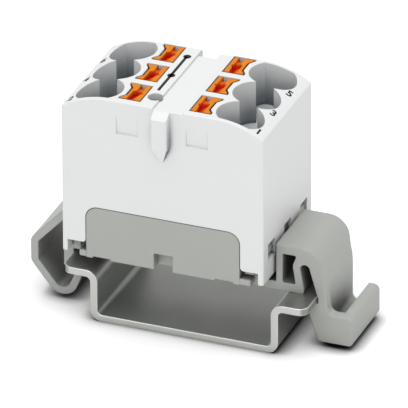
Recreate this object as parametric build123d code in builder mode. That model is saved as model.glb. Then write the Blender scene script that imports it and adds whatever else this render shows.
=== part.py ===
from build123d import *
import os
from math import asin, atan2, cos, degrees, hypot, radians, sin, sqrt, tan

os.makedirs("parts", exist_ok=True)

# Power distribution block for six wires, clipped onto a short length of 35 mm mounting rail.
# Millimetres. X runs across the rail, Y along it with the front towards -Y, and Z goes up
# from the underside of the rail. X = 0 is the middle of the rail.
# A rise is a height above the rail's flanges and a drop is a depth below the housing's top.
# An offset is a distance across the rail from the middle of the housing.

# Mounting rail
rail_width = 35.0
rail_channel_width = 27.0
rail_height = 7.5
rail_sheet = 1.0
rail_bend_radius = 0.7
rail_corner_radius = 1.3
rail_front_end = 0.45
rail_back_end = 0.05

# Clamping points: three in each of two rows
pitch = 6.0
partition = 1.0
entry_end_wall = 0.6
entry_side_wall = 1.16
entry_radius = 3.25
entry_drop = 6.3
funnel_radius = 2.75
wire_bore_radius = 1.8
wire_bore_length = 0.8
ceiling_drop = 7.9
loop_ceiling_step = 1.8
rib_half = 0.4
chamber_side_wall = 1.5

# Housing
housing_x = -3.2
housing_rise = 26.2
tab_rise = 2.3
skirt_rise = 4.0
side_wall = 0.75
front_wall = 0.8
corner_radius = 0.3
shoulder_run = 6.9
shoulder_radius = 12.5
top_edge_radius = 0.25

# Opening in the front and back of the housing that the adapter's plates fill
cutout_left_inset = 3.35
cutout_right_inset = 3.3
cutout_radius = 1.8
skirt_corner_radius = 0.5

# Release levers, with places along Y counted from the middle of their clamping point
lever_width = 2.97
waist_depth = 0.55
lever_entry_wall = 0.79
lever_front = -1.95
lever_back = 2.65
waist_front = -0.75
waist_back = 1.45
ear_front_tip = 0.45
ear_back_tip = 0.35
lever_gap = 0.12
lever_travel = 1.8
lever_edge = 0.1
shank_clearance = 0.15
stop_clearance = 0.1
shoulder_height = 1.0
driver_groove_radius = 0.75
driver_groove_depth = 0.7
driver_groove_inset = 1.3
driver_rim = 0.15
driver_point_size = 1.15
driver_point_depth = 1.3
driver_point_back = 0.4
driver_inset = 1.15
channel_width = 0.85
channel_depth = 0.9
notch_depth = 2.0
notch_length = 1.0

# Clamping springs, bent from strip
spring_sheet = 0.35
spring_side_gap = 0.45
spring_leg = 0.9
spring_loop_radius = 1.2
spring_top_gap = 0.2
spring_tip_rise = 2.35
spring_tip_gap = 0.2
spring_foot_gap = 0.1
spring_push_gap = 0.12
spring_lever_gap = 0.105

# Current bar
bar_sheet = 0.8
bar_wall_gap = 0.4
bar_side_gap = 0.25
bar_top_gap = 0.4
bar_bend_radius = 0.4
bar_end_gap = 0.3
bar_slot_gap = 0.1
bar_cover_gap = 0.1

# Details on the top, front and back of the housing
strip_left_offset = -1.3
strip_right_offset = 3.0
strip_depth = 0.3
test_offset = 2.1
test_radius = 1.05
peg_width = 2.3
peg_reach = 1.4
peg_top_drop = 0.3
peg_shoulder_drop = 1.1
peg_heel_drop = 5.4
peg_bottom_drop = 7.9
peg_tip_width = 0.4
peg_edge = 0.25
dock_gap = 0.1
pocket_width = 3.1
pocket_top_drop = 2.0
pocket_bottom_drop = 4.85
pocket_depth = 0.3

# Snap windows low in the side walls
window_width = 2.5
window_height = 2.5
window_rise = 5.1
nose_radius = 0.85
nose_reach = 0.6
nose_gap = 0.1

# Rail adapter
fit_gap = 0.15
deck_rise = 9.5
deck_thickness = 1.2
shell_wall = 1.1
shell_rise = 1.8
plate_gap = 0.1
ear_height = 1.0
ear_left_inset = 2.4
ear_right_inset = 1.85
plate_notch_offset = 7.5
plate_notch_length = 2.6
plate_notch_height = 0.25
shell_end_margin = 0.2
recess_left_offset = -1.26
recess_right_offset = 1.44
recess_rise = 4.2
recess_depth = 1.7
recess_wall = 0.8
foot_half_depth = 5.35
foot_edge = 0.2
base_thickness = 1.25
base_toe = 1.1
base_toe_run = 0.75
left_base_half_depth = 2.0
left_stop_drop = 2.2
left_stop_thickness = 1.43
outer_wall = 0.91
outer_gap = 0.42
seat_overhang = 0.5
rib_thickness = 1.0
rib_offset = 6.0

# Spring foot on the right of the adapter, from the middle between housing and rail edge
foot_rise = 6.9
foot_bar = 1.3
bend_from_middle = 0.6
foot_bend_radius = 3.0
slot_from_middle = 1.18
slot_rise = 3.75
slot_radius = 0.7
knee_from_middle = -0.6
knee_rise = 4.1
knee_radius = 1.5
window_foot_from_middle = -0.16
foot_window_radius = 0.25

# Lower end of the spring foot, outwards from the edge of the rail
slot_foot_from_edge = -1.9
base_tip_from_edge = -2.0
rail_gap = 0.05
hook_under = 1.15
hook_chamfer_from_edge = 0.05
hook_chamfer_rise = -3.2
hook_rise = -6.8
hook_radius = 0.5
leg_foot_from_edge = 1.6
pull_from_edge = 4.95
pull_rise = -2.53
pull_radius = 0.8
pull_root_radius = 1.0

# Pocket in the pull for a screwdriver's blade, closed in front and open at the back
blade_from_edge = 1.05
blade_width = 2.4
blade_floor_rise = -5.5
blade_front_wall = 1.5
blade_root_radius = 1.0

# Spring loop on the left of the adapter, with places outwards from the edge of the rail
loop_sheet = 1.05
loop_wall_rise = 6.5
loop_start_rise = 5.95
loop_from_edge = 5.75
loop_upper_rise = 0.83
loop_lower_rise = -2.28
loop_heel_from_edge = 1.26
loop_heel_rise = -7.89
loop_hook_from_edge = -0.5
loop_hook_rise = -3.6
loop_top_from_edge = -0.9
loop_corner_radius = 0.8
loop_heel_radius = 1.725

# Worked out from the sizes above: the plan of the housing, from its middle outwards
rows = (-pitch, 0.0, pitch)
sides = {"right": 1, "left": -1}
chamber_half = (pitch - partition) / 2
half_depth = pitch + chamber_half + entry_end_wall
loop_centre = spring_leg + spring_loop_radius
lever_inner = loop_centre + spring_loop_radius + spring_sheet / 2 + spring_lever_gap
lever_outer = lever_inner + lever_width
lever_waist = lever_outer - waist_depth
entry_offset = lever_waist + lever_entry_wall + entry_radius
half_width = entry_offset + entry_radius + entry_side_wall
plateau_half = half_width - shoulder_run
chamber_outer = half_width - chamber_side_wall
bar_arm_face = chamber_outer - bar_wall_gap - bar_sheet

# Heights
seat = rail_height
housing_top = seat + housing_rise
tab_bottom = seat + tab_rise
skirt_bottom = seat + skirt_rise
shell_bottom = seat + shell_rise
deck_top = seat + deck_rise
base_top = seat + base_thickness
foot_top = seat + foot_rise
bar_top = deck_top + bar_sheet
cavity_top = bar_top + bar_cover_gap
window_bottom = seat + window_rise
nose_z = window_bottom + nose_gap + nose_radius
ceiling = housing_top - ceiling_drop
loop_ceiling = ceiling - loop_ceiling_step
head_bottom = ceiling + lever_travel + stop_clearance
flange_underside = seat - rail_sheet - rail_gap

# The adapter in plan, and its walls outside the housing
shank_back = chamber_half - shank_clearance
housing_left = housing_x - half_width
housing_right = housing_x + half_width
shell_left = housing_left + side_wall + fit_gap
shell_right = housing_right - side_wall - fit_gap
shell_half = half_depth - front_wall - fit_gap
wall_right = housing_right + outer_gap
wall_left = housing_left - outer_gap
rail_edge = rail_width / 2
leg_face = rail_edge + rail_gap
foot_middle = (wall_right + leg_face) / 2
slot_x = foot_middle + slot_from_middle
foot_bend_x = foot_middle + bend_from_middle

# Slope of a spring's long leg, which leaves the loop and ends at the bar's arm
loop_centre_z = loop_ceiling - spring_top_gap - spring_loop_radius - spring_sheet / 2
spring_tip = bar_arm_face - spring_tip_gap
tip_run = spring_tip - loop_centre
tip_fall = loop_centre_z - bar_top - spring_tip_rise
spring_slope = atan2(tip_fall, tip_run) + asin(spring_loop_radius / hypot(tip_run, tip_fall))


def across(side, offset):
    # distance from the middle of the housing, to the right for side 1 and the left for side -1
    return housing_x + side * offset


def lever_points(side, y):
    # outline of a lever's head from above, with its waist round the wire entry
    outline = [
        (lever_inner, lever_front),
        (lever_outer, lever_front),
        (lever_outer, lever_front + ear_front_tip),
        (lever_waist, waist_front),
        (lever_waist, waist_back),
        (lever_outer, lever_back - ear_back_tip),
        (lever_outer, lever_back),
        (lever_inner, lever_back),
    ]
    return [(across(side, u), y + v) for u, v in outline]


def spring_height(offset):
    # height of the middle of a spring's sloping leg at an offset
    start = loop_centre + spring_loop_radius * sin(spring_slope)
    start_z = loop_centre_z + spring_loop_radius * cos(spring_slope)
    return start_z - (offset - start) * tan(spring_slope)


def push_height(offset):
    # height of a lever's lower end, just above the top face of the spring's leg
    return spring_height(offset) + spring_sheet / 2 / cos(spring_slope) + spring_push_gap


# Mounting rail: a folded steel channel with two flanges
with BuildPart() as rail_section:
    with BuildSketch(Plane.XZ.offset(half_depth + rail_front_end)):
        with BuildLine():
            channel_mid = rail_channel_width / 2 - rail_sheet / 2
            FilletPolyline(
                (-rail_edge, rail_height - rail_sheet / 2),
                (-channel_mid, rail_height - rail_sheet / 2),
                (-channel_mid, rail_sheet / 2),
                (channel_mid, rail_sheet / 2),
                (channel_mid, rail_height - rail_sheet / 2),
                (rail_edge, rail_height - rail_sheet / 2),
                radius=rail_bend_radius + rail_sheet / 2,
            )
        trace(line_width=rail_sheet)
    extrude(amount=-(rail_front_end + 2 * half_depth + rail_back_end))
    flange_corners = rail_section.edges().filter_by(Axis.Z).filter_by(
        lambda edge: abs(abs(edge.center().X) - rail_edge) < rail_sheet / 10
    )
    fillet(flange_corners, rail_corner_radius)

# Cutter for the six wire entries: a wide mouth, a ledge, a funnel and a round bore
with BuildPart() as entry_cutter:
    with BuildSketch(Plane.XZ) as entry_profile:
        with BuildLine():
            Polyline(
                (0, ceiling - 1),
                (wire_bore_radius, ceiling - 1),
                (wire_bore_radius, ceiling + wire_bore_length),
                (funnel_radius, housing_top - entry_drop),
                (entry_radius, housing_top - entry_drop),
                (entry_radius, housing_top + 1),
                (0, housing_top + 1),
                close=True,
            )
        make_face()
    revolve(axis=Axis.Z)

with BuildPart() as entries_cutter:
    with Locations(*[(across(side, entry_offset), y) for side in sides.values() for y in rows]):
        add(entry_cutter.part)
    with Locations((housing_x, 0, housing_top)):
        Box(
            2 * half_width,
            2 * (half_depth - entry_end_wall),
            housing_top,
            mode=Mode.INTERSECT,
        )

# Docking peg: a wedge seen from the side, whose lower end also narrows to a tip
with BuildPart() as peg:
    with BuildSketch(Plane.YZ.offset(housing_x)):
        with BuildLine():
            Polyline(
                (-half_depth, housing_top - peg_top_drop),
                (-half_depth - peg_reach, housing_top - peg_shoulder_drop),
                (-half_depth - peg_reach, housing_top - peg_heel_drop),
                (-half_depth, housing_top - peg_bottom_drop),
                close=True,
            )
        make_face()
    extrude(amount=peg_width / 2, both=True)
    with BuildSketch(Plane.XZ.offset(half_depth)):
        with BuildLine():
            Polyline(
                (across(-1, peg_width / 2), housing_top),
                (across(-1, peg_width / 2), housing_top - peg_heel_drop),
                (across(-1, peg_tip_width / 2), housing_top - peg_bottom_drop),
                (across(1, peg_tip_width / 2), housing_top - peg_bottom_drop),
                (across(1, peg_width / 2), housing_top - peg_heel_drop),
                (across(1, peg_width / 2), housing_top),
                close=True,
            )
        make_face()
    extrude(amount=peg_reach, mode=Mode.INTERSECT)
    chamfer(peg.edges().filter_by(Axis.Z).group_by(Axis.Y)[0], peg_edge)

# Housing: a one-piece white moulding, open underneath
with BuildPart() as housing:
    with BuildSketch(Plane.XZ):
        with BuildLine():
            shoulder_angle = degrees(asin(shoulder_run / shoulder_radius))
            shoulder_z = housing_top - shoulder_radius + sqrt(shoulder_radius**2 - shoulder_run**2)
            Polyline(
                (housing_left, shoulder_z),
                (housing_left, tab_bottom),
                (housing_right, tab_bottom),
                (housing_right, shoulder_z),
            )
            CenterArc(
                (across(1, plateau_half), housing_top - shoulder_radius),
                shoulder_radius,
                90 - shoulder_angle,
                shoulder_angle,
            )
            Line((across(1, plateau_half), housing_top), (across(-1, plateau_half), housing_top))
            CenterArc(
                (across(-1, plateau_half), housing_top - shoulder_radius),
                shoulder_radius,
                90,
                shoulder_angle,
            )
        make_face()
    extrude(amount=half_depth, both=True)
    fillet(housing.edges().filter_by(Axis.Z), corner_radius)
    rim = housing.edges().filter_by(lambda edge: edge.center().Z > shoulder_z - 0.1)
    front_and_back_rim = rim.filter_by(lambda edge: abs(edge.center().Y) > half_depth - 0.1)
    fillet(front_and_back_rim, top_edge_radius)

    # hollow for the adapter and the current bar
    with BuildSketch(Plane.XY.offset(tab_bottom)):
        with Locations((housing_x, 0)):
            Rectangle(2 * (half_width - side_wall), 2 * (half_depth - front_wall))
    extrude(amount=cavity_top - tab_bottom, mode=Mode.SUBTRACT)

    # front and back skirts stop higher than the side tabs, with a wide opening between them
    cutout_left = housing_left + cutout_left_inset
    cutout_right = housing_right - cutout_right_inset
    cutout_top = deck_top + plate_gap
    with BuildSketch(Plane.XZ) as cutout:
        with Locations((housing_x, (tab_bottom + skirt_bottom) / 2)):
            Rectangle(2 * (half_width - side_wall), skirt_bottom - tab_bottom)
        with Locations(((cutout_left + cutout_right) / 2, (tab_bottom + cutout_top) / 2)):
            Rectangle(cutout_right - cutout_left, cutout_top - tab_bottom)
        fillet(cutout.vertices().group_by(Axis.Y)[-1], cutout_radius)
        skirt_corners = cutout.vertices().group_by(Axis.Y)[1].sort_by(Axis.X)[1:3]
        fillet(skirt_corners, skirt_corner_radius)
    extrude(amount=2 * half_depth, both=True, mode=Mode.SUBTRACT)

    # clamping chambers, lower over the spring's loop than over the wire
    for side in sides.values():
        for y in rows:
            with BuildSketch(Plane.XZ.offset(-y)):
                with BuildLine():
                    Polyline(
                        (across(side, rib_half), cavity_top),
                        (across(side, chamber_outer), cavity_top),
                        (across(side, chamber_outer), ceiling),
                        (across(side, lever_inner - lever_gap), ceiling),
                        (across(side, lever_inner - lever_gap), loop_ceiling),
                        (across(side, rib_half), loop_ceiling),
                        close=True,
                    )
                make_face()
            extrude(amount=chamber_half, both=True, mode=Mode.SUBTRACT)
    add(entries_cutter.part, mode=Mode.SUBTRACT)

    # wells that the release levers slide in
    with BuildSketch(Plane.XY.offset(ceiling - stop_clearance)) as wells:
        for side in sides.values():
            for y in rows:
                with BuildSketch() as well:
                    with BuildLine():
                        Polyline(*lever_points(side, y), close=True)
                    make_face()
                    offset(amount=lever_gap, kind=Kind.INTERSECTION)
    extrude(amount=housing_top, mode=Mode.SUBTRACT)

    # test socket beside the front left lever, down to the loop of the clamping spring
    with Locations((across(-1, test_offset), rows[0], housing_top)):
        Cylinder(
            test_radius,
            housing_top - loop_ceiling + 1,
            align=(Align.CENTER, Align.CENTER, Align.MAX),
            mode=Mode.SUBTRACT,
        )

    # seat for a marker strip
    with BuildSketch(Plane.XY.offset(housing_top - strip_depth)):
        with Locations((housing_x + (strip_left_offset + strip_right_offset) / 2, 0)):
            Rectangle(strip_right_offset - strip_left_offset, 2 * half_depth)
    extrude(amount=strip_depth, mode=Mode.SUBTRACT)

    # sloping pockets high on the front and back
    for side in sides.values():
        with BuildSketch(Plane.YZ.offset(across(side, lever_inner + pocket_width / 2 - lever_gap))):
            for face in (-half_depth, half_depth):
                inward = -1 if face > 0 else 1
                with BuildLine():
                    Polyline(
                        (face, housing_top - pocket_top_drop),
                        (face, housing_top - pocket_bottom_drop),
                        (face + inward * pocket_depth, housing_top - pocket_bottom_drop),
                        close=True,
                    )
                make_face()
        extrude(amount=pocket_width / 2, both=True, mode=Mode.SUBTRACT)

    # docking peg on the front and the slot for a neighbour's peg in the back
    add(peg.part)
    with BuildSketch(Plane.YZ.offset(housing_x)):
        with BuildLine():
            Polyline(
                (half_depth, housing_top),
                (half_depth - peg_reach - dock_gap, housing_top),
                (half_depth - peg_reach - dock_gap, housing_top - peg_heel_drop - dock_gap),
                (half_depth, housing_top - peg_bottom_drop - dock_gap),
                close=True,
            )
        make_face()
    extrude(amount=peg_width / 2 + dock_gap, both=True, mode=Mode.SUBTRACT)

    # windows that the adapter's noses snap into
    with BuildSketch(Plane.YZ.offset(housing_x)):
        with Locations(*[(y, window_bottom + window_height / 2) for y in rows]):
            Rectangle(window_width, window_height)
    extrude(amount=2 * half_width, both=True, mode=Mode.SUBTRACT)

# Rail adapter: one grey moulding with a shell under the housing, a spring foot and a spring loop
with BuildPart() as rail_adapter:
    # deck and outer walls, filling the hollow of the housing
    shell_middle = (shell_left + shell_right) / 2
    with BuildSketch(Plane.XY.offset(shell_bottom)):
        with Locations((shell_middle, 0)):
            Rectangle(shell_right - shell_left, 2 * shell_half)
    extrude(amount=deck_top - shell_bottom)

    # plates that fill the openings in the housing's front and back
    with BuildSketch(Plane.XZ) as plate:
        plate_left = cutout_left + plate_gap
        plate_right = cutout_right - plate_gap
        with Locations(((plate_left + plate_right) / 2, (shell_bottom + deck_top) / 2)):
            Rectangle(plate_right - plate_left, deck_top - shell_bottom)
        fillet(plate.vertices().group_by(Axis.Y)[-1], cutout_radius - plate_gap)
        ear_left = housing_left + ear_left_inset
        ear_right = housing_right - ear_right_inset
        with Locations(((ear_left + ear_right) / 2, shell_bottom + ear_height / 2)):
            Rectangle(ear_right - ear_left, ear_height)
        notch_middle = plate_notch_offset + plate_notch_length / 2
        with Locations(*[(across(side, notch_middle), shell_bottom) for side in sides.values()]):
            Rectangle(plate_notch_length, 2 * plate_notch_height, mode=Mode.SUBTRACT)
    extrude(amount=half_depth, both=True)

    # hollow from below, with cross ribs
    with BuildSketch(Plane.XY.offset(shell_bottom)):
        with Locations((shell_middle, 0)):
            Rectangle(shell_right - shell_left - 2 * shell_wall, 2 * (shell_half - shell_wall))
        with Locations(*[(across(side, rib_offset), 0) for side in sides.values()]):
            Rectangle(rib_thickness, 2 * half_depth, mode=Mode.SUBTRACT)
    extrude(amount=deck_top - deck_thickness - shell_bottom, mode=Mode.SUBTRACT)

    # beside the plates the shell stays open to the front and back, and its side walls stop
    # a little beyond the snap windows
    side_wall_end = pitch + window_width / 2 + shell_end_margin
    for face in (-1, 1):
        for plate_edge, shell_edge, inward in ((plate_left, shell_left, 1), (plate_right, shell_right, -1)):
            wall_face = shell_edge + inward * shell_wall
            with BuildSketch(Plane.XY.offset(shell_bottom)):
                with Locations(((plate_edge + wall_face) / 2, face * (half_depth + side_wall_end) / 2)):
                    Rectangle(abs(plate_edge - wall_face), half_depth - side_wall_end + shell_wall)
                with Locations(((plate_edge + shell_edge) / 2, face * (half_depth + side_wall_end) / 2)):
                    Rectangle(abs(plate_edge - shell_edge), half_depth - side_wall_end)
            extrude(amount=deck_top - deck_thickness - shell_bottom, mode=Mode.SUBTRACT)

    # small recess in the middle of each plate, with its own back wall
    recess_x = housing_x + (recess_left_offset + recess_right_offset) / 2
    recess_width = recess_right_offset - recess_left_offset
    for face in (-1, 1):
        wall_y = face * (half_depth - recess_depth - recess_wall / 2)
        with BuildSketch(Plane.XY.offset(shell_bottom)):
            with Locations((recess_x, wall_y)):
                Rectangle(recess_width + 2 * recess_wall, recess_wall)
        extrude(amount=deck_top - deck_thickness - shell_bottom)
        with BuildSketch(Plane.XY.offset(shell_bottom)):
            with Locations((recess_x, face * (half_depth - recess_depth / 2))):
                Rectangle(recess_width, recess_depth)
        extrude(amount=recess_rise - shell_rise, mode=Mode.SUBTRACT)

    # noses that snap into the housing's windows
    for y in rows:
        with BuildSketch(Plane.XZ.offset(-y)):
            for wall, outward in ((shell_left, -1), (shell_right, 1)):
                with Locations((wall - outward * (nose_radius - nose_reach), nose_z)):
                    Circle(nose_radius)
        extrude(amount=window_width / 2 - nose_gap, both=True)

    # middle zone: seats on the flanges, walls outside the housing's tabs, foot and loop
    with BuildSketch(Plane.XZ) as foot_profile:
        slot_foot = leg_face + slot_foot_from_edge
        slot_z = seat + slot_rise
        hook_bottom = seat + hook_rise
        hook_tip = leg_face - hook_under
        hook_chamfer = (leg_face + hook_chamfer_from_edge, hook_bottom)
        pull_root = (leg_face + leg_foot_from_edge, seat + pull_rise)
        pull_end = leg_face + pull_from_edge
        pull_top = seat + pull_rise
        bend_z = foot_top - foot_bend_radius
        with BuildLine():
            Polyline(
                (wall_right, foot_top),
                (wall_right, base_top),
                (shell_right, base_top),
                (shell_right, shell_bottom),
                (shell_right - shell_wall, shell_bottom),
                (shell_right - shell_wall, base_top),
                (shell_right - shell_wall - base_toe + base_toe_run, base_top),
                (shell_right - shell_wall - base_toe, seat),
                (leg_face + base_tip_from_edge, seat),
                (slot_foot, seat + slot_radius),
                (slot_x - slot_radius, slot_z),
            )
            CenterArc((slot_x, slot_z), slot_radius, 180, -180)
            Polyline(
                (slot_x + slot_radius, slot_z),
                (leg_face, seat + rail_gap),
                (leg_face, flange_underside),
                (hook_tip, flange_underside),
                (hook_tip, seat + hook_chamfer_rise),
                hook_chamfer,
                (pull_end, hook_bottom),
                (pull_end, pull_top),
                pull_root,
                (foot_bend_x + foot_bend_radius, bend_z),
            )
            CenterArc((foot_bend_x, bend_z), foot_bend_radius, 0, 90)
            Line((foot_bend_x, foot_top), (wall_right, foot_top))
        make_face()
        for corner, radius in (
            ((pull_end, hook_bottom), hook_radius),
            (hook_chamfer, hook_radius),
            ((pull_end, pull_top), pull_radius),
            (pull_root, pull_root_radius),
        ):
            fillet(foot_profile.vertices().sort_by_distance(corner)[0], radius)
        with BuildSketch(mode=Mode.PRIVATE) as foot_window:
            with BuildLine():
                knee = (foot_middle + knee_from_middle, seat + knee_rise)
                Polyline(
                    (wall_right + outer_wall, base_top),
                    (wall_right + outer_wall, foot_top - foot_bar),
                    (foot_middle, foot_top - foot_bar),
                    knee,
                    (foot_middle + window_foot_from_middle, base_top),
                    close=True,
                )
            make_face()
            fillet(foot_window.vertices().sort_by_distance(knee)[0], knee_radius)
            other_corners = foot_window.vertices().filter_by(
                lambda corner: corner.Y in (base_top, foot_top - foot_bar)
            )
            fillet(other_corners, foot_window_radius)
        add(foot_window.sketch, mode=Mode.SUBTRACT)
        # on the left: the base, a stop outside the flange, the loop's arm and the shell's wall
        base_end = seat_overhang - rail_channel_width / 2
        stop_outside = -leg_face - left_stop_thickness
        left_outside = min(stop_outside, wall_left - outer_wall)
        for left, right, bottom, top in (
            (left_outside, base_end, seat, base_top),
            (stop_outside, -leg_face, seat - left_stop_drop, base_top),
            (wall_left - outer_wall, wall_left, seat, seat + loop_wall_rise),
            (shell_left, shell_left + shell_wall, seat, shell_bottom),
        ):
            with Locations(((left + right) / 2, (bottom + top) / 2)):
                Rectangle(right - left, top - bottom)
        with BuildLine():
            FilletPolyline(
                (wall_left - outer_wall / 2, seat + loop_start_rise),
                (-rail_edge - loop_from_edge, seat + loop_upper_rise),
                (-rail_edge - loop_from_edge, seat + loop_lower_rise),
                (-rail_edge - loop_heel_from_edge, seat + loop_heel_rise),
                (-rail_edge - loop_hook_from_edge, seat + loop_hook_rise),
                (-rail_edge - loop_top_from_edge, flange_underside - 2 * rail_gap),
                radius=[loop_corner_radius, loop_corner_radius, loop_heel_radius, loop_corner_radius],
            )
        trace(line_width=loop_sheet)
    extrude(amount=foot_half_depth, both=True)

    # the left base bears on the flange near the middle only
    cut_length = foot_half_depth - left_base_half_depth
    with BuildSketch(Plane.XY.offset(seat)):
        for face in (-1, 1):
            with Locations(((base_end - leg_face) / 2, face * (foot_half_depth - cut_length / 2))):
                Rectangle(base_end + leg_face, cut_length)
    extrude(amount=base_thickness, mode=Mode.SUBTRACT)

    # rounded front and back edges along the outside of the foot
    end_edges = rail_adapter.edges().filter_by(
        lambda edge: edge.center().X > wall_right
        and abs(abs(edge.center().Y) - foot_half_depth) < foot_edge / 10
    )
    outside = end_edges.filter_by(
        lambda edge: edge.center().Z > foot_top - foot_bar / 2 or edge.center().X > leg_face
    )
    fillet(outside, foot_edge)

    # pocket in the pull, where a blade levers the foot off the rail
    blade_left = leg_face + blade_from_edge
    blade_floor = seat + blade_floor_rise
    with BuildSketch(Plane.XZ.offset(foot_half_depth - blade_front_wall)) as blade_pocket:
        with Locations((blade_left + blade_width / 2, (blade_floor + base_top) / 2)):
            Rectangle(blade_width, base_top - blade_floor)
        fillet(blade_pocket.vertices().group_by(Axis.Y)[0].sort_by(Axis.X)[0], blade_root_radius)
    extrude(amount=-2 * foot_half_depth, mode=Mode.SUBTRACT)

# Current bar: tinned copper, three arms up each side and slots for the springs' feet
with BuildPart() as current_bar:
    arm_top = ceiling - bar_top_gap
    with BuildSketch(Plane.XZ):
        with BuildLine():
            arm_middle = bar_arm_face + bar_sheet / 2
            FilletPolyline(
                (across(-1, arm_middle), arm_top),
                (across(-1, arm_middle), deck_top + bar_sheet / 2),
                (across(1, arm_middle), deck_top + bar_sheet / 2),
                (across(1, arm_middle), arm_top),
                radius=bar_bend_radius + bar_sheet / 2,
            )
        trace(line_width=bar_sheet)
    extrude(amount=pitch + chamber_half - bar_end_gap, both=True)
    with BuildSketch(Plane.XY.offset(bar_top)):
        with Locations((housing_x, -pitch / 2), (housing_x, pitch / 2)):
            Rectangle(2 * half_width, partition + 2 * bar_side_gap)
    extrude(amount=arm_top - bar_top, mode=Mode.SUBTRACT)
    spring_width = 2 * (chamber_half - spring_side_gap)
    with BuildSketch(Plane.XY.offset(deck_top)):
        with Locations(*[(across(side, spring_leg), y) for side in sides.values() for y in rows]):
            Rectangle(spring_sheet + 2 * bar_slot_gap, spring_width + 2 * bar_slot_gap)
    extrude(amount=bar_sheet, mode=Mode.SUBTRACT)

for part, name in (
    (rail_section, "rail_section"),
    (rail_adapter, "rail_adapter"),
    (housing, "housing"),
    (current_bar, "current_bar"),
):
    part.part.label = name
    export_step(part.part, f"parts/{name}.step")

# Six clamping points, counted from the front: a stainless spring and its orange release lever
for side_name, side in sides.items():
    for number, y in enumerate(rows, start=1):
        with BuildPart() as clamping_spring:
            with BuildSketch(Plane.XZ.offset(-y)):
                with BuildLine():
                    foot = (across(side, spring_leg), deck_top + spring_foot_gap)
                    Line(foot, (across(side, spring_leg), loop_centre_z))
                    turn = CenterArc(
                        (across(side, loop_centre), loop_centre_z),
                        spring_loop_radius,
                        180 if side > 0 else 0,
                        -side * (90 + degrees(spring_slope)),
                    )
                    Line(turn @ 1, (across(side, spring_tip), spring_height(spring_tip)))
                trace(line_width=spring_sheet)
            extrude(amount=spring_width / 2, both=True)
        clamping_spring.part.label = f"clamping_spring_{side_name}_{number}"
        export_step(clamping_spring.part, f"parts/{clamping_spring.part.label}.step")

        with BuildPart() as release_lever:
            with BuildSketch(Plane.XY.offset(head_bottom)):
                with BuildLine():
                    Polyline(*lever_points(side, y), close=True)
                make_face()
            extrude(amount=housing_top - head_bottom)
            chamfer(release_lever.faces().sort_by(Axis.Z)[-1].edges(), lever_edge)

            # shank with a sloping end that rests over the spring, and a stop under the ceiling
            with BuildSketch(Plane.XZ.offset(-y - shank_back)):
                with BuildLine():
                    Polyline(
                        (across(side, lever_inner), head_bottom),
                        (across(side, lever_waist), head_bottom),
                        (across(side, lever_waist), push_height(lever_waist)),
                        (across(side, lever_inner), push_height(lever_inner)),
                        close=True,
                    )
                make_face()
            extrude(amount=shank_back - lever_front)
            stop_top = ceiling - stop_clearance
            with BuildSketch(Plane.XZ.offset(-y - lever_front)):
                with Locations(
                    (across(side, (lever_inner + lever_waist) / 2), stop_top - shoulder_height / 2)
                ):
                    Rectangle(lever_waist - lever_inner, shoulder_height)
            extrude(amount=shank_back + lever_front)

            # rounded groove for a screwdriver, which ends in a point set cornerwise, and a channel
            # from the point to the notch in the back edge
            pocket_x = across(side, lever_inner + driver_inset)
            point_y = y + driver_point_back
            groove_front = y + lever_front + driver_rim
            groove_x = across(side, lever_inner + driver_groove_inset)
            with BuildSketch(Plane.XZ.offset(-groove_front)):
                with Locations((groove_x, housing_top - driver_groove_depth + driver_groove_radius)):
                    Circle(driver_groove_radius)
            extrude(amount=groove_front - point_y, mode=Mode.SUBTRACT)
            with BuildSketch(Plane.XY.offset(housing_top)):
                with Locations((pocket_x, point_y)):
                    Rectangle(driver_point_size, driver_point_size, rotation=45)
            extrude(amount=-driver_point_depth, mode=Mode.SUBTRACT)
            with BuildSketch(Plane.XY.offset(housing_top)):
                with Locations((pocket_x, (point_y + y + lever_back) / 2)):
                    Rectangle(channel_width, y + lever_back - point_y)
            extrude(amount=-channel_depth, mode=Mode.SUBTRACT)
            with BuildSketch(Plane.XY.offset(housing_top)):
                with Locations((pocket_x, y + lever_back - notch_length / 2)):
                    Rectangle(channel_width, notch_length)
            extrude(amount=-notch_depth, mode=Mode.SUBTRACT)
        release_lever.part.label = f"release_lever_{side_name}_{number}"
        export_step(release_lever.part, f"parts/{release_lever.part.label}.step")
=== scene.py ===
import math

import bmesh
import bpy
import numpy as np
from mathutils import Matrix, Vector


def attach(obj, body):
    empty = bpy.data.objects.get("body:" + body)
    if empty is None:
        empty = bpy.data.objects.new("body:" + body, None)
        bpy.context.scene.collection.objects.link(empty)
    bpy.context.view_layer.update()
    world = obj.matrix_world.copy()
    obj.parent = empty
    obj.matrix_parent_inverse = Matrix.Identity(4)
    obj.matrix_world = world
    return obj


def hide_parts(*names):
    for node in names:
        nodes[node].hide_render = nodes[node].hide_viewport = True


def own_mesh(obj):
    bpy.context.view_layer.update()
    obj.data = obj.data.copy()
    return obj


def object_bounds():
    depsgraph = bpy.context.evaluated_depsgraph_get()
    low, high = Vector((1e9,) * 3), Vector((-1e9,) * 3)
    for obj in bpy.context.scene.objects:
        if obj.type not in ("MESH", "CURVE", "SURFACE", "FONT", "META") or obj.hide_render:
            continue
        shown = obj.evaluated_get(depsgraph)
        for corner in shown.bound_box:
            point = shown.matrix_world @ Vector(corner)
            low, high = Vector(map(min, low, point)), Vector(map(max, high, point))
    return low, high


# Power distribution block on a short mounting rail. Metres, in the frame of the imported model:
# X across the rail, Y along it with the front towards -Y, Z up from the underside of the rail.

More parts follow.
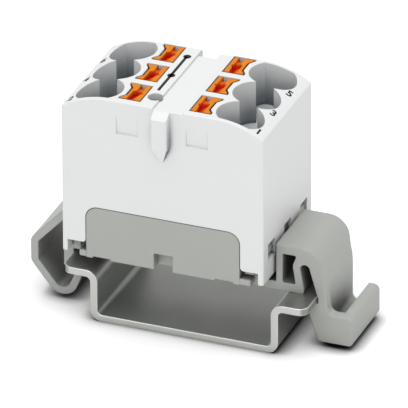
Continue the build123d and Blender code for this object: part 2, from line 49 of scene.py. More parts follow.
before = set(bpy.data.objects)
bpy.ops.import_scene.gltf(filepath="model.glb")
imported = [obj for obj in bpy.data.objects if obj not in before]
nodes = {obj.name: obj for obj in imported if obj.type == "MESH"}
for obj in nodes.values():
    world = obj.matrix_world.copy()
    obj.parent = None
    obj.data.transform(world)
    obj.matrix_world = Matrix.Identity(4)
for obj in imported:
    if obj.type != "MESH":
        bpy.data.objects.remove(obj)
cadLow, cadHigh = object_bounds()
mm = 0.001
ownMerge = 0.0005 * mm  # points of a new piece that are nearer than this are doubles
cadMerge = 0.002 * mm  # the same in the copy of a CAD mesh
sides = {"right": 1, "left": -1}
print("frame loaded,", len(nodes), "nodes")


def linearColour(hexCode):
    # sRGB hex to linear: each channel c becomes c/12.92 below 0.04045, else ((c + 0.055)/1.055)^2.4
    channels = [int(hexCode[i:i + 2], 16) / 255 for i in (1, 3, 5)]
    return [c / 12.92 if c <= 0.04045 else ((c + 0.055) / 1.055) ** 2.4 for c in channels] + [1.0]


def addNode(tree, kind, settings=None, links=None):
    # settings: attribute or input name to value; links: input name to an output socket
    node = tree.nodes.new(kind)
    for key, value in (settings or {}).items():
        if isinstance(key, int) or key in node.inputs:
            node.inputs[key].default_value = value
        else:
            setattr(node, key, value)
    for key, socket in (links or {}).items():
        tree.links.new(socket, node.inputs[key])
    return node


def newMaterial(name):
    material = bpy.data.materials.new(name)
    material.use_nodes = True
    material.node_tree.nodes.clear()
    return material, material.node_tree


def plasticMaterial(name, look):
    # moulded plastic: a faint cloudiness in the colour, painted shade that is darker and cooler down in the
    # recesses and dark in narrow gaps, a fine spark-eroded grain, and edges that are softened like a real
    # moulding's
    material, tree = newMaterial(name)
    where = addNode(tree, "ShaderNodeTexCoord").outputs["Object"]
    clouds = addNode(tree, "ShaderNodeTexNoise", {
        "Scale": 1 / (look["cloudSize"] * mm), "Detail": 3.0, "Roughness": 0.55}, {"Vector": where})
    tint = addNode(tree, "ShaderNodeMix", {
        "data_type": "RGBA", 6: linearColour(look["colour"]), 7: linearColour(look["cloudColour"])},
        {0: clouds.outputs["Fac"]})
    # painted shade: where a point sees little of the sky, the recess shade colour is mixed into its colour
    recess = addNode(tree, "ShaderNodeAmbientOcclusion", {
        "samples": 8, "only_local": look["ownRecessShadeOnly"], "Distance": look["recessShadeReach"] * mm})
    recessShade = addNode(tree, "ShaderNodeMapRange", {
        "From Min": look["recessShadeDark"], "From Max": look["recessShadeLight"], "To Min": 1.0, "To Max": 0.0},
        {"Value": recess.outputs["AO"]})
    # two bands along Y, a lever's width at either side of the middle, keep the plain colour without the
    # painted recess shade
    place = addNode(tree, "ShaderNodeSeparateXYZ", None, {"Vector": where})
    middle, bandCentre, bandHalf, bandEdge = (value * mm for value in look["unshadedBands"])
    sideways = addNode(
        tree, "ShaderNodeMath", {"operation": "SUBTRACT", 1: middle}, {0: place.outputs["X"]})
    offset = addNode(tree, "ShaderNodeMath", {"operation": "ABSOLUTE"}, {0: sideways.outputs[0]})
    fromBand = addNode(
        tree, "ShaderNodeMath", {"operation": "SUBTRACT", 1: bandCentre}, {0: offset.outputs[0]})
    distance = addNode(tree, "ShaderNodeMath", {"operation": "ABSOLUTE"}, {0: fromBand.outputs[0]})
    outside = addNode(tree, "ShaderNodeMapRange", {
        "From Min": bandHalf, "From Max": bandHalf + bandEdge}, {"Value": distance.outputs[0]})
    unbanded = addNode(tree, "ShaderNodeMath", {"operation": "MULTIPLY"}, {
        0: recessShade.outputs["Result"], 1: outside.outputs["Result"]})
    # the painted recess shade comes in from the top down, and less on what faces up
    start, end, least = look["shadeFade"]
    lower = addNode(tree, "ShaderNodeMapRange", {
        "From Min": start * mm, "From Max": end * mm, "To Min": least}, {"Value": place.outputs["Z"]})
    facing = addNode(tree, "ShaderNodeNewGeometry").outputs["True Normal"]
    upward = addNode(tree, "ShaderNodeSeparateXYZ", None, {"Vector": facing})
    level = addNode(tree, "ShaderNodeMapRange", {"To Min": 1.0, "To Max": look["upwardShadeShare"]}, {
        "Value": upward.outputs["Z"]})
    share = addNode(tree, "ShaderNodeMath", {"operation": "MULTIPLY"}, {
        0: lower.outputs["Result"], 1: level.outputs["Result"]})
    # the share of the painted recess shade at this point
    depth = addNode(tree, "ShaderNodeMath", {"operation": "MULTIPLY"}, {
        0: unbanded.outputs[0], 1: share.outputs[0]})
    recessShaded = addNode(tree, "ShaderNodeMix", {
        "data_type": "RGBA", 7: linearColour(look["recessShadeColour"])},
        {0: depth.outputs[0], 6: tint.outputs[2]})
    # a piece's own attributes, both painted shade: one deepens with its moulded-in slot, the other darkens
    # the wall beside a gap
    hollow = addNode(tree, "ShaderNodeAttribute", {"attribute_name": "hollow"})
    slotShaded = addNode(tree, "ShaderNodeMix", {
        "data_type": "RGBA", 7: linearColour(look["hollowColour"])},
        {0: hollow.outputs["Fac"], 6: recessShaded.outputs[2]})
    # painted shade: narrow gaps and inner corners, where little of the sky is seen, take the dark gap
    # colour
    narrow = addNode(tree, "ShaderNodeAmbientOcclusion", {
        "samples": 8, "Distance": look["gapShadeReach"] * mm})
    gapShade = addNode(tree, "ShaderNodeMapRange", {
        "From Min": look["gapShadeDark"], "From Max": look["gapShadeLight"], "To Min": 1.0, "To Max": 0.0},
        {"Value": narrow.outputs["AO"]})
    # painted shade along a piece's rim and walls, from its own attribute
    wall = addNode(tree, "ShaderNodeAttribute", {"attribute_name": "shade"})
    dark = addNode(tree, "ShaderNodeMath", {"operation": "MAXIMUM"}, {
        0: gapShade.outputs["Result"], 1: wall.outputs["Fac"]})
    colour = addNode(tree, "ShaderNodeMix", {
        "data_type": "RGBA", 7: linearColour(look["gapShadeColour"])},
        {0: dark.outputs[0], 6: slotShaded.outputs[2]})
    grain = addNode(tree, "ShaderNodeTexNoise", {
        "Scale": 1 / (look["grainSize"] * mm), "Detail": 2.0, "Roughness": 0.6}, {"Vector": where})
    edges = addNode(tree, "ShaderNodeBevel", {"samples": 6, "Radius": look["edgeRadius"] * mm})
    bump = addNode(tree, "ShaderNodeBump", {
        "Strength": look["grainStrength"], "Distance": look["grainHeight"] * mm},
        {"Height": grain.outputs["Fac"], "Normal": edges.outputs["Normal"]})
    gloss = addNode(tree, "ShaderNodeMapRange", {
        "To Min": look["roughness"][0], "To Max": look["roughness"][1]}, {"Value": grain.outputs["Fac"]})
    surface = addNode(tree, "ShaderNodeBsdfPrincipled", {
        "IOR": look["ior"], "Specular IOR Level": look["shine"]}, {
        "Base Color": colour.outputs[2], "Roughness": gloss.outputs["Result"],
        "Normal": bump.outputs["Normal"]})
    addNode(tree, "ShaderNodeOutputMaterial", None, {"Surface": surface.outputs["BSDF"]})
    return material


def metalMaterial(name, look):
    # metal strip: a drifting tone, fine rolling lines along one axis, paler ends where it was sheared,
    # partly the steel's own colour there and partly painted light, and a painted highlight along its
    # rounded edges
    material, tree = newMaterial(name)
    where = addNode(tree, "ShaderNodeTexCoord").outputs["Object"]
    stretched = addNode(tree, "ShaderNodeMapping", {"Scale": look["lineStretch"]}, {"Vector": where})
    lines = addNode(tree, "ShaderNodeTexNoise", {
        "Scale": 1 / (look["lineSize"] * mm), "Detail": 4.0, "Roughness": 0.6},
        {"Vector": stretched.outputs["Vector"]})
    clouds = addNode(tree, "ShaderNodeTexNoise", {
        "Scale": 1 / (look["cloudSize"] * mm), "Detail": 3.0}, {"Vector": where})
    drift = addNode(tree, "ShaderNodeMix", {
        "data_type": "RGBA", 6: linearColour(look["colour"]), 7: linearColour(look["cloudColour"])},
        {0: clouds.outputs["Fac"]})
    facing = addNode(tree, "ShaderNodeNewGeometry").outputs["True Normal"]
    axes = addNode(tree, "ShaderNodeSeparateXYZ", None, {"Vector": facing})
    along = addNode(tree, "ShaderNodeMath", {"operation": "ABSOLUTE"}, {0: axes.outputs["Y"]})
    # partly painted light: the end faces, lit towards the front, are made paler
    shearedAndLit = addNode(tree, "ShaderNodeMapRange", {"From Min": 0.85, "From Max": 0.97}, {
        "Value": along.outputs[0]})
    faced = addNode(tree, "ShaderNodeMix", {
        "data_type": "RGBA", 7: linearColour(look["endAndLightColour"])},
        {0: shearedAndLit.outputs["Result"], 6: drift.outputs[2]})
    # near an edge the softened normal turns away from the face's own
    edges = addNode(tree, "ShaderNodeBevel", {"samples": 6, "Radius": look["edgeRadius"] * mm})
    turned = addNode(tree, "ShaderNodeVectorMath", {"operation": "DOT_PRODUCT"}, {
        0: edges.outputs["Normal"], 1: facing})
    # painted highlight: a bright line where the softened normal turns away, along the rounded edges
    rim = addNode(tree, "ShaderNodeMapRange", {"From Min": 0.97, "From Max": 0.85}, {
        "Value": turned.outputs["Value"]})
    colour = addNode(tree, "ShaderNodeMix", {
        "data_type": "RGBA", 7: linearColour(look["rimHighlightColour"])},
        {0: rim.outputs["Result"], 6: faced.outputs[2]})
    gloss = addNode(tree, "ShaderNodeMapRange", {
        "To Min": look["roughness"][0], "To Max": look["roughness"][1]}, {"Value": lines.outputs["Fac"]})
    bump = addNode(tree, "ShaderNodeBump", {
        "Strength": look["lineStrength"], "Distance": look["lineHeight"] * mm},
        {"Height": lines.outputs["Fac"], "Normal": edges.outputs["Normal"]})
    surface = addNode(tree, "ShaderNodeBsdfPrincipled", {"Metallic": look["metallic"]}, {
        "Base Color": colour.outputs[2], "Roughness": gloss.outputs["Result"],
        "Normal": bump.outputs["Normal"]})
    addNode(tree, "ShaderNodeOutputMaterial", None, {"Surface": surface.outputs["BSDF"]})
    return material


# Sizes in millimetres. The fade is the heights between which the painted recess shade comes in and its
# least share; the plain bands are the middle, the bands' distance from it, their half width (below nought
# for none) and their edge; the painted shade of recesses and gaps runs from dark to light by how much of
# the sky a point sees

# Polyamide 6.6, pigmented white and moulded in a finely eroded tool: an even, slightly cool satin
whiteLook = {
    "colour": "#E7E8E8", "cloudColour": "#E4E5E5", "cloudSize": 9.0,
    "recessShadeColour": "#626C73", "recessShadeReach": 6.0, "recessShadeDark": 0.5, "recessShadeLight": 0.75,
    "shadeFade": (33.6, 27.7, 0.1), "upwardShadeShare": 0.3, "ownRecessShadeOnly": True,
    "grainSize": 0.22, "grainStrength": 0.15, "grainHeight": 0.01, "edgeRadius": 0.12,
    "roughness": (0.38, 0.46), "ior": 1.53, "shine": 0.5, "hollowColour": "#7F8890",
    "gapShadeColour": "#0B0C0D", "gapShadeReach": 0.7, "gapShadeDark": 0.1, "gapShadeLight": 0.24,
    "unshadedBands": (-3.2, 5.07, 1.62, 0.02),
}
# The same plastic pigmented grey: warm and dull, with lighter softened edges
greyLook = {
    "colour": "#ADAFAA", "cloudColour": "#A9ABA6", "cloudSize": 8.0,
    "recessShadeColour": "#3C3E3B", "recessShadeReach": 8.0, "recessShadeDark": 0.04, "recessShadeLight": 0.58,
    "grainSize": 0.25, "grainStrength": 0.2, "grainHeight": 0.012, "edgeRadius": 0.25,
    "shadeFade": (33.7, 33.6, 1.0), "upwardShadeShare": 1.0, "ownRecessShadeOnly": False,
    "roughness": (0.44, 0.52), "ior": 1.53, "shine": 0.5, "hollowColour": "#3C3E3B",
    "gapShadeColour": "#0B0C0B", "gapShadeReach": 1.6, "gapShadeDark": 0.06, "gapShadeLight": 0.2,
    "unshadedBands": (0.0, 0.0, -1.0, 0.02),
}
# The same plastic pigmented orange, with painted shade in the driver slots: a deep red, as where the orange
# lights itself
orangeLook = {
    "colour": "#E18300", "cloudColour": "#DC7B00", "cloudSize": 3.0,
    "recessShadeColour": "#A81000", "recessShadeReach": 1.2, "recessShadeDark": 0.1, "recessShadeLight": 0.6,
    "grainSize": 0.2, "grainStrength": 0.1, "grainHeight": 0.008, "edgeRadius": 0.04,
    "shadeFade": (33.7, 33.6, 1.0), "upwardShadeShare": 1.0, "ownRecessShadeOnly": True,
    "roughness": (0.31, 0.39), "ior": 1.53, "shine": 0.1, "hollowColour": "#C81C08",
    "gapShadeColour": "#1E0300", "gapShadeReach": 1.0, "gapShadeDark": 0.08, "gapShadeLight": 0.25,
    "unshadedBands": (0.0, 0.0, -1.0, 0.02),
}
# Zinc-plated steel strip, roll-formed: grey satin with faint lines along the rail. It is only
# partly metallic, so that the passivated zinc keeps its dull grey from every side
railLook = {
    "colour": "#959792", "cloudColour": "#858783", "cloudSize": 7.0,
    "lineSize": 0.25, "lineStretch": (1.0, 0.05, 1.0), "lineStrength": 0.15, "lineHeight": 0.01,
    "edgeRadius": 0.28, "endAndLightColour": "#C6C8C4", "rimHighlightColour": "#F2F3F0",
    "roughness": (0.28, 0.4), "metallic": 0.6,
}
# Stainless spring strip: bright, rolled lines along the strip
springLook = {
    "colour": "#C9CCD0", "cloudColour": "#BEC2C7", "cloudSize": 3.0,
    "lineSize": 0.15, "lineStretch": (0.05, 1.0, 0.05), "lineStrength": 0.1, "lineHeight": 0.005,
    "edgeRadius": 0.04, "endAndLightColour": "#C9CCD0", "rimHighlightColour": "#DADCE0",
    "roughness": (0.19, 0.31), "metallic": 1.0,
}
# Tinned copper: pale satin metal with a soft wavy tone
copperLook = {
    "colour": "#CFCDC6", "cloudColour": "#C2BDB2", "cloudSize": 2.0,
    "lineSize": 0.2, "lineStretch": (1.0, 1.0, 1.0), "lineStrength": 0.1, "lineHeight": 0.005,
    "edgeRadius": 0.05, "endAndLightColour": "#CFCDC6", "rimHighlightColour": "#DEDCD6",
    "roughness": (0.29, 0.41), "metallic": 1.0,
}

finishes = {
    "housing": plasticMaterial("whitePolyamide", whiteLook),
    "rail_adapter": plasticMaterial("greyPolyamide", greyLook),
    "release_lever": plasticMaterial("orangePolyamide", orangeLook),
    "rail_section": metalMaterial("zincPlatedSteel", railLook),
    "clamping_spring": metalMaterial("springSteel", springLook),
    "current_bar": metalMaterial("tinnedCopper", copperLook),
}
for name, node in nodes.items():
    finish = next(material for start, material in finishes.items() if name.startswith(start))
    node.data.materials.clear()
    node.data.materials.append(finish)
print("finishes given to the CAD nodes")


def addPiece(name, points, faces, material, body, looks=None):
    # points in millimetres, in the frame's own axes, with a value of each look for every point;
    # doubles are merged and the faces turned outwards
    mesh = bpy.data.meshes.new(name)
    mesh.from_pydata(np.asarray(points) * mm, [], faces)
    for key, values in (looks or {}).items():
        stored = mesh.attributes.new(key, "FLOAT", "POINT")
        stored.data.foreach_set("value", values)
    shell = bmesh.new()
    shell.from_mesh(mesh)
    bmesh.ops.remove_doubles(shell, verts=shell.verts, dist=ownMerge)
    bmesh.ops.recalc_face_normals(shell, faces=shell.faces)
    shell.to_mesh(mesh)
    shell.free()
    mesh.materials.append(material)
    piece = bpy.data.objects.new(name, mesh)
    bpy.context.scene.collection.objects.link(piece)
    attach(piece, body)
    return piece


def meshArrays(mesh):
    # a mesh's points as an array and its faces as lists of point numbers
    points = np.empty(len(mesh.vertices) * 3)
    mesh.vertices.foreach_get("co", points)
    corners = np.empty(len(mesh.loops), dtype=np.int32)
    mesh.loops.foreach_get("vertex_index", corners)
    starts = np.empty(len(mesh.polygons), dtype=np.int32)
    mesh.polygons.foreach_get("loop_start", starts)
    return points.reshape(-1, 3), [face.tolist() for face in np.split(corners, starts[1:])]


def joinShells(shells):
    # several shells as one: the point numbers of each go on from those before it
    points, faces = [], []
    count = 0
    for shellPoints, shellFaces in shells:
        points.append(shellPoints)
        faces += [[number + count for number in face] for face in shellFaces]
        count += len(shellPoints)
    return np.concatenate(points), faces


# Two short shelves of the adapter in front and two behind: the plates' lower ends run on sideways,
# under the open cavities beside them
shelfLook = {
    "right": (7.7, 9.4), "left": (-15.25, -14.1), "height": (9.3, 10.25), "depth": (7.3, 9.1),
    "radius": 0.22, "steps": 5,
}


def shelfSurface(low, high, radius, steps):
    # rounded box: each ring along Y is a rectangle whose corners are quarter circles; towards an end
    # the ring draws in by r(1 - sin a) while Y goes on by r(1 - cos a), a from 0 to a quarter turn
    low, high = np.array(low), np.array(high)
    turn = np.linspace(0, np.pi / 2, steps + 1)
    angle = (turn[None, :] + np.arange(4)[:, None] * np.pi / 2).ravel()
    corner = np.repeat(np.arange(4) * np.pi / 2 + np.pi / 4, steps + 1)
    inset = np.concatenate([radius * (1 - np.sin(turn)), radius * (1 - np.sin(turn[::-1]))])
    y = np.concatenate([low[1] + radius * (1 - np.cos(turn)), high[1] - radius * (1 - np.cos(turn[::-1]))])
    middle, half = (low + high) / 2, (high - low) / 2 - radius
    x = middle[0] + np.sign(np.cos(corner)) * half[0] + (radius - inset[:, None]) * np.cos(angle)
    z = middle[2] + np.sign(np.sin(corner)) * half[2] + (radius - inset[:, None]) * np.sin(angle)
    points = np.stack([x, np.broadcast_to(y[:, None], x.shape), z], axis=-1)
    rings, around = x.shape
    ids = np.arange(rings * around).reshape(rings, around)
    after = np.roll(ids, -1, axis=1)
    quads = np.stack([ids[:-1], ids[1:], after[1:], after[:-1]], axis=-1).reshape(-1, 4)
    return points.reshape(-1, 3), quads.tolist() + [ids[0].tolist(), ids[-1].tolist()]


for sideName in sides:
    for endName, end in (("front", -1), ("back", 1)):
        (x0, x1), (z0, z1) = shelfLook[sideName], shelfLook["height"]
        y0, y1 = sorted(end * y for y in shelfLook["depth"])
        surface = shelfSurface((x0, y0, z0), (x1, y1, z1), shelfLook["radius"], shelfLook["steps"])
        shelf = addPiece(f"plate_shelf_{sideName}_{endName}", *surface, finishes["rail_adapter"], "block")
print("shelves beside the plates")

# Lever heads with the moulded relief of the real ones: a groove for the screwdriver that ends in a
# point set cornerwise, and a channel on to the notch. Places are (y, x) from the lever's row and
# its inner edge, in millimetres
leverLook = {
    "centre": -3.2, "inner": 3.58, "rows": (-6.0, 0.0, 6.0), "top": 33.7, "cut": 31.3,
    "outline": [(-1.86, 2.88), (-1.5, 2.88), (-0.75, 2.33), (1.45, 2.33), (2.3, 2.88), (2.65, 2.88)],
    "grooveInner": [(-1.85, 0.82), (-0.1, 0.62), (0.25, 0.35), (0.45, 0.62), (1.6, 0.65), (2.65, 0.65)],
    "grooveOuter": [(-1.85, 2.0), (0.2, 1.9), (0.58, 1.92), (0.85, 1.5), (1.6, 1.51), (2.65, 1.51)],
    "floorCurve": [(-0.3, 1.0), (0.3, 3.0), (1.0, 6.0)],
    "depthAlong": [(-1.8, 0.6), (-0.2, 0.85), (0.8, 0.85), (1.1, 0.3), (2.65, 0.3)],
    "slotShadeDepth": 0.51, "grooveFront": -1.8, "notchStart": 1.85, "notchDepth": 2.0,
    "wall": 0.07, "edge": 0.09, "across": 84, "along": 128,
}


def leverSurface(look, side, row):
    # grid over the outline, u across and v along: depth = groove, channel and notch laid together.
    # The groove falls steeply at its left edge and rises to its right edge: depth 1 - t^k, t from 0
    # to 1 across, with k from 1 (an even slope) at the front to 6 (nearly level) in the channel.
    # the painted slot shade grows with the depth, up to 1 at its full depth, and the painted shade line
    # with nearness to the rim
    v = np.linspace(look["outline"][0][0], look["outline"][-1][0], look["along"])[:, None]
    width = np.interp(v, *np.transpose(look["outline"]))
    inner = np.interp(v, *np.transpose(look["grooveInner"]))
    outer = np.interp(v, *np.transpose(look["grooveOuter"]))
    u = np.linspace(0, 1, look["across"])[None, :] * width
    v = np.broadcast_to(v, u.shape)
    fromLeft = u - inner if side > 0 else outer - u
    steep = np.clip(fromLeft / look["wall"], 0, 1)
    t = np.clip(fromLeft / (outer - inner), 0, 1)
    bend = np.interp(v, *np.transpose(look["floorCurve"]))
    floor = (1 - t ** bend) * np.clip((v - look["grooveFront"]) / look["wall"], 0, 1)
    groove = np.interp(v, *np.transpose(look["depthAlong"])) * steep * floor
    inside = np.clip(np.minimum(u - inner, outer - u) / look["wall"], 0, 1)
    notch = look["notchDepth"] * inside * np.clip((v - look["notchStart"]) / look["wall"], 0, 1)
    border = np.minimum(np.minimum(u, width - u), np.minimum(v - v.min(), v.max() - v))
    depth = np.maximum(groove, notch)
    z = look["top"] - np.maximum(depth, look["edge"] - border)
    x = look["centre"] + side * (look["inner"] + u)
    top = np.stack([x, row + v, z], axis=-1).reshape(-1, 3)
    ids = np.arange(u.size).reshape(u.shape)
    rim = np.concatenate([ids[0, :-1], ids[:-1, -1], ids[-1, :0:-1], ids[:0:-1, 0]])
    foot = top[rim] * (1, 1, 0) + (0, 0, look["cut"])
    under = u.size + np.arange(rim.size)
    quads = np.stack([ids[:-1, :-1], ids[:-1, 1:], ids[1:, 1:], ids[1:, :-1]], axis=-1).reshape(-1, 4)
    walls = np.stack([rim, np.roll(rim, -1), np.roll(under, -1), under], axis=-1)
    # painted shade in the slot, deeper as the slot deepens
    hollow = np.clip(depth / look["slotShadeDepth"], 0, 1)
    # painted shade: a dark line along the head's rim, and its walls all dark
    shade = np.clip(1 - border / look["edge"], 0, 1)
    looks = {"hollow": np.append(hollow, np.zeros(rim.size)), "shade": np.append(shade, np.ones(rim.size))}
    return np.concatenate([top, foot]), quads.tolist() + walls.tolist() + [under.tolist()], looks


def mergedCopy(node, cut):
    # a CAD node's mesh with its doubles merged; only what is below the cut, closed again there
    shell = bmesh.new()
    shell.from_mesh(node.data)
    bmesh.ops.remove_doubles(shell, verts=shell.verts, dist=cadMerge)
    everything = list(shell.verts) + list(shell.edges) + list(shell.faces)
    bmesh.ops.bisect_plane(
        shell, geom=everything, plane_co=(0, 0, cut * mm), plane_no=(0, 0, 1), clear_outer=True)
    bmesh.ops.holes_fill(shell, edges=[edge for edge in shell.edges if edge.is_boundary], sides=0)
    mesh = bpy.data.meshes.new("mergedCopy")
    shell.to_mesh(mesh)
    shell.free()
    points, faces = meshArrays(mesh)
    bpy.data.meshes.remove(mesh)
    return points / mm, faces


for sideName, side in sides.items():
    for number, row in enumerate(leverLook["rows"], start=1):
        name = f"{sideName}_{number}"
        headPoints, headFaces, looks = leverSurface(leverLook, side, row)
        stemPoints, stemFaces = mergedCopy(nodes[f"release_lever_{name}"], leverLook["cut"])
        points, faces = joinShells([(headPoints, headFaces), (stemPoints, stemFaces)])
        looks["hollow"] = np.append(looks["hollow"], np.zeros(len(stemPoints)))
        # painted shade: the whole stem, down in the housing, takes the dark gap colour
        looks["shade"] = np.append(looks["shade"], np.ones(len(stemPoints)))
        lever = addPiece(
            f"lever_moulding_{name}", points, faces, finishes["release_lever"], f"lever_{name}", looks)
        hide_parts(f"release_lever_{name}")
print("lever mouldings")

# Clamping springs: the whole CAD strips again (the cut is above them), as pieces of their own in place of
# the CAD nodes
stripLook = {"cut": 40.0, "middle": -3.2, "foot": 0.9, "fixedHeight": 17.1, "keep": 0.66}
for sideName, side in sides.items():
    for number, row in enumerate(leverLook["rows"], start=1):
        name = f"{sideName}_{number}"
        points, faces = mergedCopy(nodes[f"clamping_spring_{name}"], stripLook["cut"])
        spring = addPiece(f"spring_strip_{name}", points, faces, finishes["clamping_spring"], "block")
        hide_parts(f"clamping_spring_{name}")
        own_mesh(spring)
print("clamping springs")

# Printed marks: a line with two dots that joins the test hole to the rows, and plain numbers
# outside the wire entries; black pad print with hardly any thickness
printLook = {
    "thickness": 0.012, "line": (-5.65, -4.1, 6.3, 0.42),
    "dots": [(-5.6, 0.5), (-5.6, 6.3)], "dotRadius": 0.55, "dotSteps": 40,
    "numbers": {"1": (10.15, -7.85), "3": (10.1, -2.3), "5": (10.1, 3.7),
                "2": (-16.75, -7.85), "4": (-16.9, -1.9), "6": (-16.75, 3.9)},
    "numberSize": 1.8, "numberWeight": 0.05,
    "top": 33.7, "middle": -3.2, "shoulderStart": 7.55, "shoulderRadius": 12.5,
}
inkLook = {"colour": "#141516", "filmColour": "#26282A", "filmSize": 0.3, "roughness": 0.6, "shine": 0.2}


def pastShoulder(x, look):
    # how far x lies out past the start of the rounded shoulder, nought in the flat middle
    return np.clip(np.abs(x - look["middle"]) - look["shoulderStart"], 0, None)


def shoulderHeight(x, look):
    # flat in the middle, then falling like a circle: top - R + (R^2 - d^2)^(1/2) at d past the start
    past = pastShoulder(x, look)
    return look["top"] - look["shoulderRadius"] + np.sqrt(look["shoulderRadius"] ** 2 - past ** 2)


def flatMark(outline, look):
    # a closed outline in the flat middle: the same ring under and over the surface, joined round
    size = len(outline)
    heights = look["top"] + np.array([-look["thickness"], look["thickness"]])
    points = np.concatenate([np.c_[outline, np.full(size, height)] for height in heights])
    under, over = np.arange(2 * size).reshape(2, size)
    nextUnder, nextOver = np.roll(under, -1), np.roll(over, -1)
    walls = np.stack([under, nextUnder, nextOver, over], axis=-1)
    return points, [under.tolist(), over.tolist()] + walls.tolist()


def numberMark(text, x, y, look):
    # a number laid over the shoulder: across it a point moves by the cosine of the slope there,
    # (1 - (d/R)^2)^(1/2) at d past the start, and then takes the shoulder's height
    font = bpy.data.curves.new("number", "FONT")
    font.body, font.size, font.extrude = text, look["numberSize"], look["thickness"]
    font.align_x, font.align_y, font.resolution_u = "CENTER", "CENTER", 3
    font.offset = look["numberWeight"]
    writer = bpy.data.objects.new("number", font)
    mesh = bpy.data.meshes.new_from_object(writer)
    points, faces = meshArrays(mesh)
    bpy.data.objects.remove(writer)
    bpy.data.curves.remove(font)
    bpy.data.meshes.remove(mesh)
    lean = np.sqrt(1 - (pastShoulder(x, look) / look["shoulderRadius"]) ** 2)
    across = x + points[:, 0] * lean
    return np.stack([across, y + points[:, 1], shoulderHeight(across, look) + points[:, 2]], axis=-1), faces


def markSurface(look):
    # the line is a rectangle, a dot is a circle (r cos a, r sin a) round its centre, and the
    # numbers follow them
    x, y0, y1, width = look["line"]
    line = np.array([(x - width / 2, y0), (x + width / 2, y0), (x + width / 2, y1), (x - width / 2, y1)])
    angle = np.linspace(0, 2 * np.pi, look["dotSteps"], endpoint=False)
    circle = look["dotRadius"] * np.stack([np.cos(angle), np.sin(angle)], axis=-1)
    outlines = [line] + [circle + np.array(centre) for centre in look["dots"]]
    shells = [flatMark(outline, look) for outline in outlines]
    shells += [numberMark(text, x, y, look) for text, (x, y) in look["numbers"].items()]
    return joinShells(shells)


def inkMaterial(look):
    # pad-printing ink: nearly black, matt, a little uneven where the film is thin
    material, tree = newMaterial("blackInk")
    where = addNode(tree, "ShaderNodeTexCoord").outputs["Object"]
    film = addNode(tree, "ShaderNodeTexNoise", {
        "Scale": 1 / (look["filmSize"] * mm), "Detail": 3.0}, {"Vector": where})
    colour = addNode(tree, "ShaderNodeMix", {
        "data_type": "RGBA", 6: linearColour(look["colour"]), 7: linearColour(look["filmColour"])},
        {0: film.outputs["Fac"]})
    surface = addNode(tree, "ShaderNodeBsdfPrincipled", {
        "Roughness": look["roughness"], "Specular IOR Level": look["shine"]},
        {"Base Color": colour.outputs[2]})
    addNode(tree, "ShaderNodeOutputMaterial", None, {"Surface": surface.outputs["BSDF"]})
    return material


addPiece("printed_marks", *markSurface(printLook), inkMaterial(inkLook), "block")
print("printed marks")

# The view of the photograph, solved from the straight edges of the rail and the housing
view = {
    "azimuth": 21.54, "elevation": 28.32, "roll": -0.243,
    "place": (0.467099, -1.185357, 0.702105), "focalPixels": 10782.0, "imageWidth": 408,
    "sensor": 36.0, "nearest": 0.05, "farthest": 20.0,
}


def addCamera(view):
    # looks down along the elevation from the azimuth's side of the front, then turned by the roll
    a, e, roll = (math.radians(view[key]) for key in ("azimuth", "elevation", "roll"))
    right = Vector((math.cos(a), math.sin(a), 0))
    forward = Vector((-math.sin(a) * math.cos(e), math.cos(a) * math.cos(e), -math.sin(e)))
    up = right.cross(forward)
    turnedRight = right * math.cos(roll) + up * math.sin(roll)
    turnedUp = up * math.cos(roll) - right * math.sin(roll)
    data = bpy.data.cameras.new("camera")
    data.sensor_width = view["sensor"]
    data.lens = view["sensor"] * view["focalPixels"] / view["imageWidth"]
    data.clip_start, data.clip_end = view["nearest"], view["farthest"]
    camera = bpy.data.objects.new("camera", data)
    rotation = Matrix((turnedRight, turnedUp, -forward)).transposed()
    camera.matrix_world = Matrix.Translation(view["place"]) @ rotation.to_4x4()
    bpy.context.scene.collection.objects.link(camera)
    bpy.context.scene.camera = camera


# Pale floor under the rail; close under an edge a painted shadow darkens it, where light no longer reaches
# it
floorLook = {"size": 8.0, "colour": "#FFFFFF", "lift": 0.18, "contactShadowColour": "#1E1E20",
             "contactReach": 2.4, "contactDark": 0.3, "contactLight": 0.97}


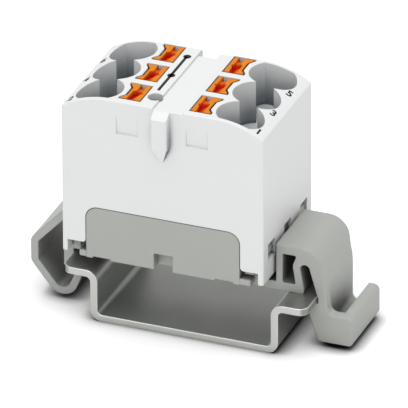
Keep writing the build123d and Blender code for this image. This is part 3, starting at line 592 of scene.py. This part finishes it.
def addFloor(look):
    half = look["size"] / 2
    mesh = bpy.data.meshes.new("floor")
    corners = [(-half, -half, 0), (half, -half, 0), (half, half, 0), (-half, half, 0)]
    mesh.from_pydata(corners, [], [(0, 1, 2, 3)])
    floor = bpy.data.objects.new("floor", mesh)
    floor.location.z = cadLow.z
    bpy.context.scene.collection.objects.link(floor)
    material, tree = newMaterial("paleFloor")
    # painted shadow: the floor's colour darkens where, near the object, little of the sky is seen
    near = addNode(tree, "ShaderNodeAmbientOcclusion", {
        "samples": 16, "Distance": look["contactReach"] * mm})
    contactShadow = addNode(tree, "ShaderNodeMapRange", {
        "From Min": look["contactDark"], "From Max": look["contactLight"], "To Min": 1.0, "To Max": 0.0},
        {"Value": near.outputs["AO"]})
    colour = addNode(tree, "ShaderNodeMix", {
        "data_type": "RGBA", 6: linearColour(look["colour"]), 7: linearColour(look["contactShadowColour"])},
        {0: contactShadow.outputs["Result"]})
    # the lift brings the open floor to white for the camera alone, and fades under the painted shadow: lift
    # x (1 - shadow)
    path = addNode(tree, "ShaderNodeLightPath")
    held = addNode(tree, "ShaderNodeMath", {"operation": "MULTIPLY", 1: look["lift"]}, {
        0: contactShadow.outputs["Result"]})
    lift = addNode(tree, "ShaderNodeMath", {"operation": "SUBTRACT", 0: look["lift"]}, {
        1: held.outputs[0]})
    strength = addNode(tree, "ShaderNodeMath", {"operation": "MULTIPLY"}, {
        0: path.outputs["Is Camera Ray"], 1: lift.outputs[0]})
    matt = addNode(tree, "ShaderNodeBsdfDiffuse", None, {"Color": colour.outputs[2]})
    glow = addNode(tree, "ShaderNodeEmission", None, {"Strength": strength.outputs[0]})
    both = addNode(tree, "ShaderNodeAddShader", None, {0: matt.outputs[0], 1: glow.outputs[0]})
    addNode(tree, "ShaderNodeOutputMaterial", None, {"Surface": both.outputs[0]})
    mesh.materials.append(material)


# Soft studio light: an even pale dome, and two large lamps. Sizes and places are in metres
domeLook = {"colour": "#FFFFFF", "strength": 0.5}
lampLooks = [
    {"name": "topLamp", "place": (0.0, 0.0, 1.0), "size": 1.2, "power": 6.9},
    {"name": "frontLamp", "place": (0.1, -1.0, 0.5), "size": 0.6, "power": 1.9},
]


def addLight(dome, lamps):
    # the dome is dimmer as a light than the camera and the reflections see it
    world = bpy.data.worlds.new("dome")
    world.use_nodes = True
    tree = world.node_tree
    tree.nodes.clear()
    path = addNode(tree, "ShaderNodeLightPath")
    seen = addNode(tree, "ShaderNodeMath", {"operation": "MAXIMUM"}, {
        0: path.outputs["Is Camera Ray"], 1: path.outputs["Is Glossy Ray"]})
    strength = addNode(tree, "ShaderNodeMapRange", {"To Min": dome["strength"], "To Max": 1.0}, {
        "Value": seen.outputs[0]})
    sky = addNode(tree, "ShaderNodeBackground", {"Color": linearColour(dome["colour"])}, {
        "Strength": strength.outputs["Result"]})
    addNode(tree, "ShaderNodeOutputWorld", None, {"Surface": sky.outputs[0]})
    bpy.context.scene.world = world
    target = (cadLow + cadHigh) / 2
    for look in lamps:
        data = bpy.data.lights.new(look["name"], "AREA")
        data.shape, data.size, data.energy = "DISK", look["size"], look["power"]
        lamp = bpy.data.objects.new(look["name"], data)
        lamp.location = look["place"]
        lamp.rotation_mode = "QUATERNION"
        lamp.rotation_quaternion = (target - lamp.location).to_track_quat("-Z", "Y")
        bpy.context.scene.collection.objects.link(lamp)


addCamera(view)
addFloor(floorLook)
addLight(domeLook, lampLooks)
bpy.context.scene.view_settings.view_transform = "Standard"
print("camera, floor and light are in place")
